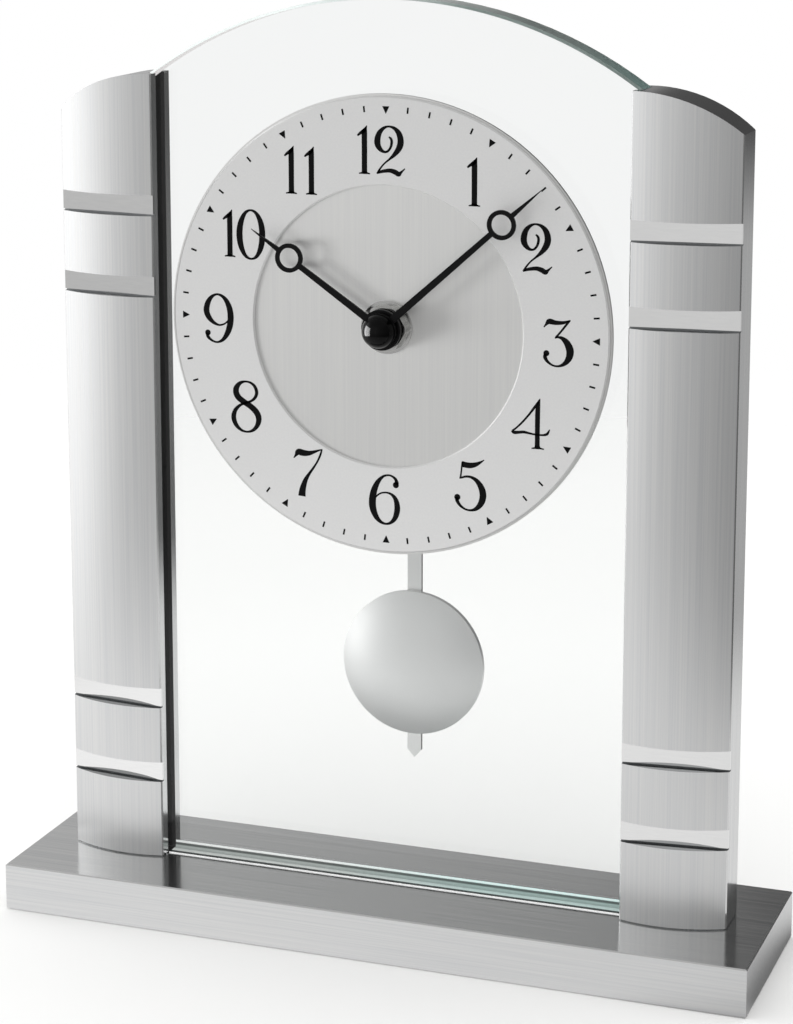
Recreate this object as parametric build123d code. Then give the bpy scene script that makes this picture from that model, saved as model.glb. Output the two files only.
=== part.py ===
from build123d import *
from math import atan2, cos, degrees, hypot, pi, sin, sqrt
import os

# Desk pendulum clock. Millimetres, front toward -Y, +Z up, Y = 0 in the middle of the glass.

# Base
base_width = 190.0
base_depth = 50.0
base_top = 12.0
base_wall = 1.5
base_bevel = 0.3
rim_lift = 0.4
felt_thick = 1.0
felt_margin = 6.0
core_gap = 0.2

# Pillars: the front is an arc over a chord that runs back toward the outer side
pillar_inner = 59.7
pillar_width = 25.5
pillar_front = -7.0
pillar_back = 7.0
face_setback = 2.8
face_bulge = 2.5
pillar_arris = 0.3
foot_arris = 0.35
crest_offset = 1.3
crest_height = 210.4
crest_radius = 36.0
slot_depth = 6.3
slot_top_gap = 0.15

# Polished bands, by the lower edges of their grooves; a shadow gap stays open under each band
groove_heights = (31.9, 51.3, 155.9, 175.9)
groove_width = 5.1
band_shadow = 0.4
band_thick = 0.8
band_sink = 0.3
band_gap = 0.05

# Screws that hold the pillars from below
screw_radius = 2.0
screw_reach = 10.0
screw_head = 3.6
screw_head_thick = 2.4
screw_spread = 9.0
screw_seat = 1.4
screw_back = 1.5
screw_play = 0.2
thread_play = 0.05

# Glass
glass_thick = 8.0
glass_top = 230.0
arch_radius = 106.0
glass_arris = 0.5
glass_side_gap = 0.8
glass_hole = 5.5

# Dial and what clamps it
axis_height = 152.0
dial_radius = 55.5
dial_thick = 0.8
ring_outer = 55.0
ring_inner = 33.9
ring_thick = 0.7
ring_bevel = 0.35
washer_radius = 6.4
washer_thick = 0.5
nut_across_flats = 10.0
nut_thick = 2.0
nut_corner = 5.6
cushion_outer = 14.0
cushion_thick = 0.8

# Bushing, hour tube and minute arbor, one inside the other
bushing_radius = 4.0
bushing_past_nut = 0.5
bushing_flange = 6.0
tube_radius = 2.6
tube_wall = 0.85
running_fit = 0.05
press_fit = 0.02
clamp_play = 0.1

# Hands: angles clockwise from twelve, seen from the front
minute_angle = 48.3
hour_angle = 304.0
hand_thick = 0.5
hand_width = 1.3
hand_root_width = 1.9
hour_ring_at = 28.4
hour_tip_at = 40.1
minute_ring_at = 40.2
minute_tip_at = 54.1
hand_ring_outer = 3.5
hand_ring_inner = 2.45
hour_collar = 4.9
minute_collar = 4.2
collar_length = 1.0
collar_step = 0.2
hand_spacing = 0.3
minute_lift = 0.5
cap_radius = 4.0
cap_length = 3.9
cap_dome_radius = 4.1
arbor_in_cap = 1.2

# Movement case
case_half = 28.0
case_wall = 1.2
case_corner = 3.0
works_depth = 10.0
bay_width = 15.2
bay_depth = 13.8
cover_thick = 1.5
cover_gap = 0.1
boss_wall = 1.2

# Wheels
module = 0.5
cannon_teeth = 10
motion_teeth = 30
motion_pinion_teeth = 8
hour_teeth = 32
knob_teeth = 12
tooth_tip = 0.75
tooth_root = 1.05
tooth_width = 0.42
tooth_flare = 0.16
tooth_taper = 0.22
wheel_thick = 1.2
wheel_lift = 0.4
wheel_gap = 0.7
pinion_overlap = 0.1
post_radius = 0.8
pivot_radius = 1.0
knob_shaft = 1.5
knob_radius = 5.5
knob_length = 4.0
knob_clear = 0.5
knob_flutes = 14
knob_flute_radius = 0.8

# Stepping motor, circuit and pendulum drive
stator_left = -25.5
stator_right = -6.5
stator_low = -25.5
stator_high = -9.5
stator_thick = 1.0
stator_bar = 4.0
stator_leg = 3.5
stator_stand = 2.7
stator_post = 1.2
window_height = 4.5
rotor_height = -13.2
rotor_hole = 3.0
rotor_radius = 2.6
rotor_thick = 1.6
rotor_arbor = 0.5
coil_length = 11.0
coil_deep = 5.2
coil_high = 5.8
coil_fit = 0.05
board_left = -25.0
board_right = 8.0
board_low = 11.0
board_high = 25.5
board_thick = 1.0
board_stand = 5.2
can_radius = 1.0
can_length = 6.0
drive_height = -20.0
drive_coil_radius = 5.0
drive_coil_bore = 1.5
drive_coil_length = 3.5

# Battery, size AA
battery_radius = 7.25
battery_body = 49.2
battery_nub = 1.3
battery_nub_radius = 2.75
battery_play = 0.3
battery_bevel = 0.5
contact_thick = 0.4
contact_wide = 9.0
spring_low_radius = 4.0
spring_high_radius = 2.7
spring_hole = 1.2

# Pendulum
pivot_height = 22.0
pin_radius = 1.0
pin_head = 1.8
pin_head_thick = 0.8
hanger_thick = 1.2
hanger_gap = 0.6
hanger_width = 4.4
hanger_eye = 3.2
hanger_low = -27.0
magnet_radius = 3.0
magnet_rim = 1.4
peg_radius = 0.8
peg_height = -24.5
peg_past_rod = 0.7
rod_width = 3.7
rod_thick = 0.8
rod_above_peg = 3.0
rod_shoulder = 40.5
rod_tip = 38.4
bob_height = 63.5
bob_radius = 18.4
bob_dome = 3.6
bob_rim = 1.4
bob_wall = 0.8
bob_shoulder = 0.6
bob_plate_thick = 0.8
bob_fit = 0.05
clip_thick = 0.5
clip_span = 12.0
clip_tall = 6.0
clip_play = 0.15


def block(x_low, x_high, y_low, y_high, z_low, z_high):
    """A box between six planes."""
    middle = Pos((x_low + x_high) / 2, (y_low + y_high) / 2, (z_low + z_high) / 2)
    return middle * Box(x_high - x_low, y_high - y_low, z_high - z_low)


def bar(radius, y_low, y_high, x=0.0, z=0.0):
    """A round bar along Y between two planes."""
    return Pos(x, (y_low + y_high) / 2, z) * Rot(90, 0, 0) * Cylinder(radius, y_high - y_low)


def pipe(outer, inner, y_low, y_high, x=0.0, z=0.0):
    """A round bar along Y with a bore through it."""
    return bar(outer, y_low, y_high, x, z) - bar(inner, y_low, y_high, x, z)


def plate(face, y_low, y_high, x=0.0, z=0.0):
    """A flat outline, drawn with its second axis up, given a thickness along Y."""
    solid = extrude(face, (y_high - y_low) / 2, both=True)
    return Pos(x, (y_low + y_high) / 2, z) * Rot(90, 0, 0) * solid


def polygon(*points):
    """A flat face round the given corners."""
    return make_face(Polyline(*points, close=True))


def wheel(teeth, y_low, y_high, x, z, gap_at_right):
    """A toothed wheel along Y with a tooth, or else a gap, toward +X."""
    pitch = teeth * module / 2
    tip = pitch + tooth_tip * module
    root = pitch - tooth_root * module
    half_root = tooth_width + tooth_flare
    half_tip = tooth_width - tooth_taper
    flank = ((root, -half_root), (pitch, -tooth_width), (tip, -half_tip))
    flank += ((tip, half_tip), (pitch, tooth_width), (root, half_root))
    first = 0.5 if gap_at_right else 0.0
    corners = []
    for tooth in range(teeth):
        for radius, side in flank:
            turn = 2 * pi / teeth * (tooth + first + side / 2)
            corners.append((radius * cos(turn), radius * sin(turn)))
    return plate(polygon(*corners), y_low, y_high, x, z)


def hand(ring_at, tip_at, y_low, y_high, angle):
    """A hand with a ring near its end and a pointed tip, turned clockwise from twelve."""
    half = hand_width / 2
    shaft = polygon(
        (-hand_root_width / 2, 0),
        (hand_root_width / 2, 0),
        (half, ring_at - hand_ring_inner),
        (-half, ring_at - hand_ring_inner),
    )
    point = polygon((-half, ring_at + hand_ring_inner), (half, ring_at + hand_ring_inner), (0, tip_at))
    ring = Pos(0, ring_at) * (Circle(hand_ring_outer) - Circle(hand_ring_inner))
    blade = plate(shaft, y_low, y_high) + plate(ring, y_low, y_high) + plate(point, y_low, y_high)
    return Pos(0, 0, axis_height) * Rot(0, angle, 0) * blade


nodes = {}
upright = (Align.CENTER, Align.CENTER, Align.MIN)

# Base: a shell bevelled round its top, filled by a core, on a felt sheet
half_wide = base_width / 2
half_deep = base_depth / 2
shell = block(-half_wide, half_wide, -half_deep, half_deep, rim_lift, base_top)
shell = chamfer(shell.faces().sort_by(Axis.Z)[-1].edges(), base_bevel)
room_wide = half_wide - base_wall
room_deep = half_deep - base_wall
shell -= block(-room_wide, room_wide, -room_deep, room_deep, rim_lift, base_top - base_wall)
core_wide = room_wide - core_gap
core_deep = room_deep - core_gap
core = block(-core_wide, core_wide, -core_deep, core_deep, felt_thick, base_top - base_wall)
felt_wide = half_wide - felt_margin
felt_deep = half_deep - felt_margin
nodes["base_felt"] = block(-felt_wide, felt_wide, -felt_deep, felt_deep, 0, felt_thick)

# Screws: two under each pillar, heads sunk in the core
pillar_outer = pillar_inner + pillar_width
screw_middle = (pillar_inner + slot_depth + pillar_outer) / 2
seat_height = screw_seat + screw_head_thick
screws = []
screw_places = []
for side in (-1, 1):
    for step in (-0.5, 0.5):
        screw_places.append((side * (screw_middle + step * screw_spread), screw_back))
for x, y in screw_places:
    place = Pos(x, y, 0)
    head = Pos(0, 0, screw_seat) * Cylinder(screw_head, screw_head_thick, align=upright)
    length = base_top + screw_reach - seat_height
    shank = Pos(0, 0, seat_height) * Cylinder(screw_radius, length, align=upright)
    screws.append(place * (head + shank))
    through = Pos(x, y, base_top / 2) * Cylinder(screw_radius + screw_play, 2 * base_top)
    pocket_depth = seat_height - felt_thick
    pocket = Pos(x, y, felt_thick) * Cylinder(screw_head + screw_play, pocket_depth, align=upright)
    core -= through + pocket
    shell -= through
nodes["base_shell"] = shell
nodes["base_core"] = core
nodes["pillar_screws"] = Compound(children=screws)

# Right pillar: section with the arched front, then the rounded top, the glass slot closed above
# the pane's arch, and the grooves
inner_edge = (pillar_inner, pillar_front)
outer_edge = (pillar_outer, pillar_front + face_setback)
chord = hypot(pillar_width, face_setback)
chord_angle = degrees(atan2(face_setback, pillar_width))
middle_x = (inner_edge[0] + outer_edge[0]) / 2
middle_y = (inner_edge[1] + outer_edge[1]) / 2
crown = (middle_x + face_bulge * face_setback / chord, middle_y - face_bulge * pillar_width / chord)
front_arc = ThreePointArc(inner_edge, crown, outer_edge)
sides = Polyline(outer_edge, (pillar_outer, pillar_back), (pillar_inner, pillar_back), inner_edge)
section = make_face([front_arc, *sides.edges()])
pillar = Pos(0, 0, base_top) * extrude(section, crest_height - base_top)
long_edges = pillar.edges().filter_by(Axis.Z)
pillar = chamfer(long_edges, pillar_arris)
foot_edges = pillar.faces().sort_by(Axis.Z)[0].edges()
pillar = chamfer(foot_edges, foot_arris)
crest_x = pillar_inner + crest_offset
crest_axis = crest_height - crest_radius
round_top = bar(crest_radius, -base_depth, base_depth, crest_x, crest_axis)
below = block(crest_x - crest_radius, crest_x + crest_radius, -base_depth, base_depth, base_top, crest_axis)
pillar &= round_top + below
half_glass = glass_thick / 2
slot_end = pillar_inner + slot_depth
arch_axis = glass_top - arch_radius
under_arch = bar(arch_radius + slot_top_gap, -half_glass, half_glass, 0, arch_axis)
under_arch += block(0, pillar_outer, -half_glass, half_glass, 0, arch_axis)
slot = block(pillar_inner - 1, slot_end, -half_glass, half_glass, 0, glass_top)
pillar -= slot & under_arch
for x, y in screw_places:
    if x > 0:
        tapped = Pos(x, y, base_top) * Cylinder(screw_radius + thread_play, 2 * screw_reach + 2)
        pillar -= tapped

# Bands: flat strips behind the chord of the arched front, cut off flush with the pillar's sides
chord_frame = Pos(middle_x, middle_y, 0) * Rot(0, 0, chord_angle)
floor = band_sink + band_thick
for number, low in enumerate(groove_heights, start=1):
    high = low + groove_width
    groove = chord_frame * block(-chord, chord, -chord, floor, low, high)
    pillar -= groove
    strip = chord_frame * block(-chord, chord, band_sink, floor, low + band_shadow, high - band_gap)
    strip &= block(pillar_inner, pillar_outer, -base_depth, base_depth, 0, glass_top)
    nodes[f"right_band_{number}"] = strip
    nodes[f"left_band_{number}"] = mirror(strip, about=Plane.YZ)
nodes["right_pillar"] = pillar
nodes["left_pillar"] = mirror(pillar, about=Plane.YZ)

# Glass: straight sides in the slots, arched top, ground arrises, one hole for the bushing
glass_half = slot_end - glass_side_gap
side_top = arch_axis + sqrt(arch_radius**2 - glass_half**2)
arch = ThreePointArc((glass_half, side_top), (0, glass_top), (-glass_half, side_top))
frame_lines = Polyline(
    (-glass_half, side_top), (-glass_half, base_top), (glass_half, base_top), (glass_half, side_top)
)
pane = plate(make_face([arch, *frame_lines.edges()]), -half_glass, half_glass)
outer_edges = [e for f in pane.faces().filter_by(Axis.Y) for e in f.outer_wire().edges()]
pane = chamfer(outer_edges, glass_arris)
pane -= bar(glass_hole, -half_glass, half_glass, 0, axis_height)
nodes["glass_pane"] = pane

# Dial, chapter ring, washer and nut, clamped against the front of the glass
dial_face = -half_glass - dial_thick
ring_face = dial_face - ring_thick
washer_face = dial_face - washer_thick
nut_face = washer_face - nut_thick
loose_bore = bushing_radius + clamp_play
nodes["dial_disc"] = pipe(dial_radius, loose_bore, dial_face, -half_glass, 0, axis_height)
ring = pipe(ring_outer, ring_inner, ring_face, dial_face, 0, axis_height)
ring_edges = ring.faces().sort_by(Axis.Y)[0].edges()
nodes["chapter_ring"] = chamfer(ring_edges, ring_bevel)
nodes["dial_washer"] = pipe(washer_radius, loose_bore, washer_face, dial_face, 0, axis_height)
hexagon = RegularPolygon(nut_across_flats / 2, 6, major_radius=False)
nut = plate(hexagon, nut_face, washer_face, 0, axis_height)
nut &= bar(nut_corner, nut_face, washer_face, 0, axis_height)
nodes["bushing_nut"] = nut - bar(bushing_radius + thread_play, nut_face, washer_face, 0, axis_height)
case_front = half_glass + cushion_thick
nodes["cushion_washer"] = pipe(cushion_outer, loose_bore, half_glass, case_front, 0, axis_height)

# Bushing: threaded tube with a flange in the wall of the case
works_front = case_front + case_wall
bushing_end = nut_face - bushing_past_nut
bushing = bar(bushing_radius, bushing_end, works_front, 0, axis_height)
bushing += bar(bushing_flange, case_front, works_front, 0, axis_height)
bushing -= bar(tube_radius + running_fit, bushing_end, works_front, 0, axis_height)
nodes["center_bushing"] = bushing

# Hour wheel with its tube, hour hand
arbor_radius = tube_radius - tube_wall - running_fit
hour_low = works_front + wheel_lift
hour_high = hour_low + wheel_thick
hour_back = bushing_end - hand_spacing
hour_front = hour_back - hand_thick
hour_collar_front = hour_back - collar_length
hour_wheel = wheel(hour_teeth, hour_low, hour_high, 0, axis_height, False)
hour_wheel += bar(tube_radius, hour_collar_front, hour_high, 0, axis_height)
hour_wheel -= bar(arbor_radius + running_fit, hour_collar_front, hour_high, 0, axis_height)
nodes["hour_wheel"] = hour_wheel
hour_hand = hand(hour_ring_at, hour_tip_at, hour_front, hour_back, hour_angle)
hour_hand += bar(hour_collar, hour_collar_front, hour_back, 0, axis_height)
hour_hand -= bar(tube_radius + press_fit, hour_collar_front, hour_back, 0, axis_height)
nodes["hour_hand"] = hour_hand

# Minute arbor with its pinion, minute hand, cap
cannon_low = hour_high + wheel_gap - pinion_overlap
cannon_high = cannon_low + wheel_thick + 2 * pinion_overlap
minute_collar_back = hour_collar_front - minute_lift
minute_back = minute_collar_back - collar_step
minute_front = minute_back - hand_thick
cap_back = minute_collar_back - collar_length
arbor_end = cap_back - arbor_in_cap
cap_front = cap_back - cap_length
works_back = case_front + works_depth
pivot_start = cannon_high + wheel_lift
pivot_end = works_back - case_wall
arbor = wheel(cannon_teeth, cannon_low, cannon_high, 0, axis_height, False)
arbor += bar(arbor_radius, arbor_end, cannon_high, 0, axis_height)
arbor += bar(pivot_radius, cannon_high, pivot_end, 0, axis_height)
nodes["minute_arbor"] = arbor
minute_hand = hand(minute_ring_at, minute_tip_at, minute_front, minute_back, minute_angle)
minute_hand += bar(minute_collar, cap_back, minute_collar_back, 0, axis_height)
minute_hand -= bar(arbor_radius + press_fit, cap_back, minute_collar_back, 0, axis_height)
nodes["minute_hand"] = minute_hand
cap = bar(cap_radius, cap_front, cap_back, 0, axis_height)
cap &= Pos(0, cap_front + cap_dome_radius, axis_height) * Sphere(cap_dome_radius)
cap -= bar(arbor_radius + press_fit, arbor_end, cap_back, 0, axis_height)
nodes["hand_cap"] = cap

# Motion wheel beside the arbor, setting knob beside the motion wheel
motion_x = -(cannon_teeth + motion_teeth) * module / 2
knob_x = motion_x - (motion_teeth + knob_teeth) * module / 2
motion_low = hour_high + wheel_gap
motion_high = motion_low + wheel_thick
post_end = motion_high + 2 * wheel_lift
motion = wheel(motion_teeth, motion_low, motion_high, motion_x, axis_height, True)
motion += wheel(motion_pinion_teeth, hour_low, motion_low, motion_x, axis_height, True)
motion -= bar(post_radius + running_fit, hour_low, motion_high, motion_x, axis_height)
nodes["motion_wheel"] = motion
cover_back = works_back + cover_thick
knob_low = cover_back + knob_clear
knob_high = knob_low + knob_length
knob = wheel(knob_teeth, cannon_low, cannon_high, knob_x, axis_height, False)
knob += bar(knob_shaft, cannon_high, knob_low, knob_x, axis_height)
knob += bar(post_radius, hour_low, cannon_low, knob_x, axis_height)
grip = bar(knob_radius, knob_low, knob_high, knob_x, axis_height)
grip_edges = grip.faces().sort_by(Axis.Y)[-1].edges()
grip = chamfer(grip_edges, hand_thick)
for flute in range(knob_flutes):
    turn = 2 * pi * flute / knob_flutes
    flute_x = knob_x + knob_radius * cos(turn)
    flute_z = axis_height + knob_radius * sin(turn)
    grip -= bar(knob_flute_radius, knob_low, knob_high, flute_x, flute_z)
nodes["setting_knob"] = knob + grip

# Case: works to one side, open battery bay to the other
bay_right = case_half - case_wall
bay_left = bay_right - bay_width
works_right = bay_left - case_wall
works_left = -case_half + case_wall
inner_half = case_half - case_wall
low = axis_height - case_half
high = axis_height + case_half
bay_back = case_front + bay_depth
case = block(-case_half, case_half, case_front, works_back, low, high)
case += block(works_right, case_half, case_front, bay_back, low, high)
corners = case.edges().filter_by(Axis.Y).filter_by(lambda e: abs(abs(e.center().X) - case_half) < 0.01)
case = fillet(corners, case_corner)
room_low = axis_height - inner_half
room_high = axis_height + inner_half
works_room = block(works_left, works_right, works_front, works_back, room_low, room_high)
case -= fillet(works_room.edges().filter_by(Axis.Y), case_corner - case_wall)
case -= block(bay_left, bay_right, works_front, bay_back, room_low, room_high)
case -= bar(bushing_flange + press_fit, case_front, works_front, 0, axis_height)
case += bar(post_radius, works_front, post_end, motion_x, axis_height)
post_bore = post_radius + running_fit
case += pipe(post_bore + boss_wall, post_bore, works_front, hour_high, knob_x, axis_height)
stator_front = works_front + stator_stand
rotor_x = (stator_left + stator_right) / 2
rotor_z = axis_height + rotor_height
stator_post_z = axis_height + stator_high - stator_post
for x in (stator_left + stator_post, stator_right - stator_post):
    case += bar(stator_post, works_front, stator_front, x, stator_post_z)
rotor_bore = rotor_arbor + running_fit
case += pipe(rotor_bore + boss_wall, rotor_bore, works_front, works_front + boss_wall, rotor_x, rotor_z)
board_front = works_front + board_stand
board_post_z = axis_height + board_high - 2 * stator_post
for x in (board_left + 2 * stator_post, board_right - 2 * stator_post):
    case += bar(stator_post, works_front, board_front, x, board_post_z)
nodes["movement_case"] = case

# Cover: closes the works, carries the rear bearings and the pendulum's pivot pin
pivot_z = axis_height + pivot_height
cover = block(-case_half, works_right - cover_gap, works_back, cover_back, low, high)
cover_corners = cover.edges().filter_by(Axis.Y).filter_by(lambda e: e.center().X < 0)
cover = fillet(cover_corners, case_corner)
arbor_bore = pivot_radius + running_fit
cover += bar(arbor_bore + boss_wall, pivot_start, works_back, 0, axis_height)
cover -= bar(arbor_bore, pivot_start, pivot_end, 0, axis_height)
cover += bar(post_bore + boss_wall, motion_high + wheel_lift, works_back, motion_x, axis_height)
cover -= bar(post_bore, motion_high + wheel_lift, post_end, motion_x, axis_height)
cover -= bar(knob_shaft + running_fit, works_back, cover_back, knob_x, axis_height)
cover += bar(rotor_bore + boss_wall, works_back - boss_wall, works_back, rotor_x, rotor_z)
cover -= bar(rotor_bore, works_back - boss_wall, works_back, rotor_x, rotor_z)
cover -= bar(pin_radius + press_fit, works_back, cover_back, 0, pivot_z)
nodes["movement_cover"] = cover

# Stepping motor: stator plate with a window, coil on its lower bar, rotor in its eye
stator_back = stator_front + stator_thick
stator_z_low = axis_height + stator_low
stator_z_high = axis_height + stator_high
stator = block(stator_left, stator_right, stator_front, stator_back, stator_z_low, stator_z_high)
bar_top = stator_z_low + stator_bar
window_left = stator_left + stator_leg
window_right = stator_right - stator_leg
stator -= block(window_left, window_right, stator_front, stator_back, bar_top, bar_top + window_height)
stator -= bar(rotor_hole, stator_front, stator_back, rotor_x, rotor_z)
nodes["motor_stator"] = stator
coil_y = (stator_front + stator_back) / 2
coil_z = (stator_z_low + bar_top) / 2
coil = Pos(rotor_x, coil_y, coil_z) * Box(coil_length, coil_deep, coil_high)
coil = fillet(coil.edges().filter_by(Axis.X), stator_thick)
coil_bore = Box(coil_length, stator_thick + 2 * coil_fit, stator_bar + 2 * coil_fit)
nodes["motor_coil"] = coil - Pos(rotor_x, coil_y, coil_z) * coil_bore
rotor = bar(rotor_radius, coil_y - rotor_thick / 2, coil_y + rotor_thick / 2, rotor_x, rotor_z)
rotor_start = works_front + running_fit
rotor_end = works_back - running_fit
rotor += bar(rotor_arbor, rotor_start, rotor_end, rotor_x, rotor_z)
nodes["motor_rotor"] = rotor

# Circuit board on its posts with the quartz can, and the coil that drives the pendulum
board_back = board_front + board_thick
board_z_low = axis_height + board_low
board_z_high = axis_height + board_high
nodes["circuit_board"] = block(board_left, board_right, board_front, board_back, board_z_low, board_z_high)
can_z = (board_z_low + board_z_high) / 2
can = Pos(motion_x, board_front - can_radius, can_z) * Rot(0, 90, 0) * Cylinder(can_radius, can_length)
nodes["quartz_can"] = can
drive_z = axis_height + drive_height
drive_start = works_back - drive_coil_length
nodes["drive_coil"] = pipe(drive_coil_radius, drive_coil_bore, drive_start, works_back, 0, drive_z)

# Battery between its two contacts
battery_x = (bay_left + bay_right) / 2
battery_y = works_front + battery_play + battery_radius
nub_top = room_high - contact_thick
body_top = nub_top - battery_nub
body_low = body_top - battery_body
cell = Pos(battery_x, battery_y, body_low) * Cylinder(battery_radius, battery_body, align=upright)
cell = chamfer(cell.edges().filter_by(GeomType.CIRCLE), battery_bevel)
cell += Pos(battery_x, battery_y, body_top) * Cylinder(battery_nub_radius, battery_nub, align=upright)
nodes["battery"] = cell
half_contact = contact_wide / 2
contact_sides = (battery_x - half_contact, battery_x + half_contact)
contact_sides += (battery_y - half_contact, battery_y + half_contact)
nodes["battery_contact_plus"] = block(*contact_sides, nub_top, room_high)
spring_low = room_low + contact_thick
minus = block(*contact_sides, room_low, spring_low)
spring = Cone(spring_low_radius, spring_high_radius, body_low - spring_low, align=upright)
spring -= Cylinder(spring_hole, body_low - spring_low, align=upright)
nodes["battery_contact_minus"] = minus + Pos(battery_x, battery_y, spring_low) * spring

# Pivot pin, hanger with its magnet, rod
hanger_front = cover_back + hanger_gap
hanger_back = hanger_front + hanger_thick
pin_head_front = hanger_back + hanger_gap
pin_end = pin_head_front + pin_head_thick
pin = bar(pin_radius, works_back, pin_end, 0, pivot_z)
nodes["pivot_pin"] = pin + bar(pin_head, pin_head_front, pin_end, 0, pivot_z)
hanger_z_low = axis_height + hanger_low
hanger = block(-hanger_width / 2, hanger_width / 2, hanger_front, hanger_back, hanger_z_low, pivot_z)
hanger += bar(hanger_eye, hanger_front, hanger_back, 0, pivot_z)
hanger += bar(magnet_radius + magnet_rim, hanger_front, hanger_back, 0, drive_z)
hanger -= bar(magnet_radius + press_fit, hanger_front, hanger_back, 0, drive_z)
hanger -= bar(pin_radius + running_fit, hanger_front, hanger_back, 0, pivot_z)
peg_z = axis_height + peg_height
rod_back = hanger_back + rod_thick
hanger += bar(peg_radius, hanger_back, rod_back + peg_past_rod, 0, peg_z)
nodes["pendulum_hanger"] = hanger
nodes["pendulum_magnet"] = bar(magnet_radius, hanger_front, hanger_back, 0, drive_z)
half_rod = rod_width / 2
rod_top = peg_z + rod_above_peg
rod_outline = polygon(
    (-half_rod, rod_top),
    (-half_rod, rod_shoulder),
    (0, rod_tip),
    (half_rod, rod_shoulder),
    (half_rod, rod_top),
)
rod = plate(rod_outline, hanger_back, rod_back)
nodes["pendulum_rod"] = rod - bar(peg_radius + running_fit, hanger_back, rod_back, 0, peg_z)

# Bob: a spun dish pressed over a back plate, held on the rod by a clip
rim_front = hanger_back - bob_rim
crown_front = rim_front - bob_dome
plate_front = hanger_back - bob_plate_thick
bob_inside = bob_radius - bob_wall
hollow_edge = bob_inside - bob_shoulder
hollow_front = crown_front + bob_wall
hollow_deep = plate_front - hollow_front
dome_radius = (bob_radius**2 + bob_dome**2) / (2 * bob_dome)
hollow_radius = (hollow_edge**2 + hollow_deep**2) / (2 * hollow_deep)
dish = bar(bob_radius, crown_front, hanger_back, 0, bob_height)
dish &= Pos(0, crown_front + dome_radius, bob_height) * Sphere(dome_radius)
hollow = bar(hollow_edge, hollow_front, plate_front, 0, bob_height)
hollow &= Pos(0, hollow_front + hollow_radius, bob_height) * Sphere(hollow_radius)
dish -= hollow
dish -= bar(bob_inside, plate_front, hanger_back, 0, bob_height)
nodes["pendulum_bob"] = dish
nodes["bob_plate"] = bar(bob_inside - bob_fit, plate_front, hanger_back, 0, bob_height)
clip_low = bob_height - clip_tall / 2
clip_high = bob_height + clip_tall / 2
clip_back = rod_back + clip_thick
bridge = half_rod + clip_play + clip_thick
clip = block(-bridge, bridge, rod_back, clip_back, clip_low, clip_high)
for side in (-1, 1):
    legs = sorted((side * (half_rod + clip_play), side * bridge))
    feet = sorted((side * (half_rod + clip_play), side * clip_span / 2))
    clip += block(*legs, hanger_back, clip_back, clip_low, clip_high)
    clip += block(*feet, hanger_back, hanger_back + clip_thick, clip_low, clip_high)
nodes["bob_clip"] = clip

os.makedirs("parts", exist_ok=True)
for name, shape in nodes.items():
    export_step(shape, f"parts/{name}.step")
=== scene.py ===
import bpy
import math
import numpy as np
from mathutils import Matrix, Vector


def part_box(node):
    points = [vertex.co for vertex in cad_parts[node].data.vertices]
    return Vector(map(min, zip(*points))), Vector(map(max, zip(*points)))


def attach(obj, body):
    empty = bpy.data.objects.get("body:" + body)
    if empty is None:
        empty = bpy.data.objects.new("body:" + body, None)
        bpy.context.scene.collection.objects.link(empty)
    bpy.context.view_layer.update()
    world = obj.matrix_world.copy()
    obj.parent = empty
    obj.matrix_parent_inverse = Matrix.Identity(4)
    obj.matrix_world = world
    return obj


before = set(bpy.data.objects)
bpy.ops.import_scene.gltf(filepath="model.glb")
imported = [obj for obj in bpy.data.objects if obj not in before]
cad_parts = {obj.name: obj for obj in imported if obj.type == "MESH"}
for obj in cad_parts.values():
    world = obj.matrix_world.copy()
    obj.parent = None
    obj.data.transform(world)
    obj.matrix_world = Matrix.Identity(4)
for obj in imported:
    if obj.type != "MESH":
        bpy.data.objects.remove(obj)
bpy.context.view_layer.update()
mm = 0.001


# Base: a folded aluminium shell, brushed along its length and lacquered on top, over a board core.
# A felt sheet is glued underneath and four zinc plated screws come up into the pillars.

def linear(code, alpha=1.0):
    """An sRGB hex colour as linear red, green, blue and alpha, by the sRGB curve."""
    share = np.array([int(code[i:i + 2], 16) for i in (1, 3, 5)]) / 255
    light = np.where(share <= 0.04045, share / 12.92, ((share + 0.055) / 1.055) ** 2.4)
    return (*light.tolist(), alpha)


def feed(tree, made, inputs):
    """Gives each named input of a node a value, or a link from another node's output."""
    for name, value in inputs.items():
        if isinstance(value, bpy.types.NodeSocket):
            tree.links.new(value, made.inputs[name])
        else:
            made.inputs[name].default_value = value


def add(tree, kind, inputs=None, **settings):
    """Adds one shader node with its settings and its inputs."""
    made = tree.nodes.new("ShaderNode" + kind)
    for name, value in settings.items():
        setattr(made, name, value)
    feed(tree, made, inputs or {})
    return made


def blend(tree, value, *stops):
    """A colour ramp over a value, with stops of position and sRGB hex colour."""
    made = add(tree, "ValToRGB", {"Fac": value})
    elements = made.color_ramp.elements
    while len(elements) < len(stops):
        elements.new(0.5)
    for element, (position, code) in zip(elements, stops):
        element.position = position
        element.color = linear(code)
    return made


def rescale(tree, value, start, end, low=0.0, high=1.0, **settings):
    """A value carried from the range start to end over to the range low to high, and held at its ends."""
    limits = {"From Min": start, "From Max": end, "To Min": low, "To Max": high}
    return add(tree, "MapRange", {"Value": value, **limits}, **settings)


def finish(name, **values):
    """A new material with one Principled shader, and that shader's constant values."""
    made = bpy.data.materials.new(name)
    made.use_nodes = True
    tree = made.node_tree
    tree.nodes.clear()
    shader = add(tree, "BsdfPrincipled", {key.replace("_", " "): value for key, value in values.items()})
    add(tree, "OutputMaterial", {"Surface": shader.outputs[0]})
    return made, tree, shader


def dress(made, *names):
    """Puts a material into the slot of each CAD node."""
    for name in names:
        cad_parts[name].material_slots[0].material = made


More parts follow.
